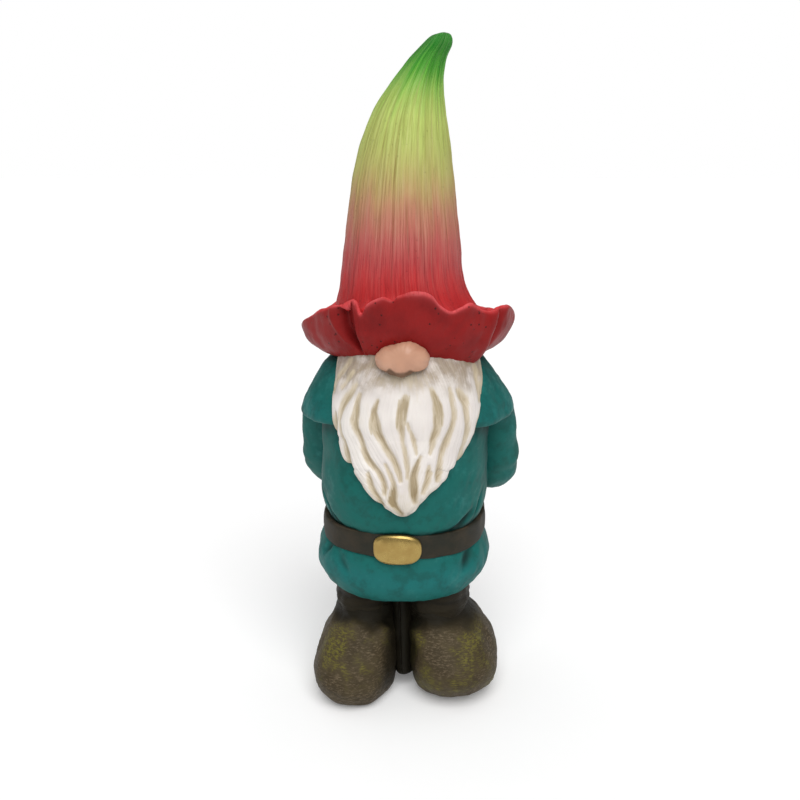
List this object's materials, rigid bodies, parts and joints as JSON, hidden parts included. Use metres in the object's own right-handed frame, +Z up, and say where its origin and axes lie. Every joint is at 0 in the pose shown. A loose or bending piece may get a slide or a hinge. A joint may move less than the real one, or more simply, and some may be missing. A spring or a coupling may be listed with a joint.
{
  "type": "garden gnome figurine",
  "caption": "Standing garden gnome in a tall leaning flower-shaped hat, with a long beard, belted coat, arms behind its back and big round boots.",
  "frame": {"origin": "middle of the figure's bounding box, on the plane that the soles stand on", "axes": "+Z up through the hat, the figure faces -Y, +X is the figure's own left"},
  "size_m": [0.1092, 0.1015, 0.3048],
  "materials": {
    "hat_red": "satin",
    "bare_resin": "matte",
    "skin": "satin",
    "beard": "satin",
    "coat_teal": "matte",
    "belt_brown": "satin",
    "buckle_gold": "gloss",
    "trousers_dark": "matte",
    "boot_olive": "matte",
    "dowel_steel": "satin",
    "plug_rubber": "matte"
  },
  "bodies": {
    "root": {"hat": "hat_red", "head_core": "bare_resin", "nose": "skin", "beard": "beard", "shoulder_cape": "coat_teal", "coat": "coat_teal", "left_arm": "coat_teal", "right_arm": "coat_teal", "left_hand": "skin", "right_hand": "skin", "belt": "belt_brown", "buckle": "buckle_gold", "trousers": "trousers_dark", "left_boot": "boot_olive", "right_boot": "boot_olive", "left_leg_dowel": "dowel_steel", "right_leg_dowel": "dowel_steel", "vent_plug": "plug_rubber"}
  },
  "joints": []
}
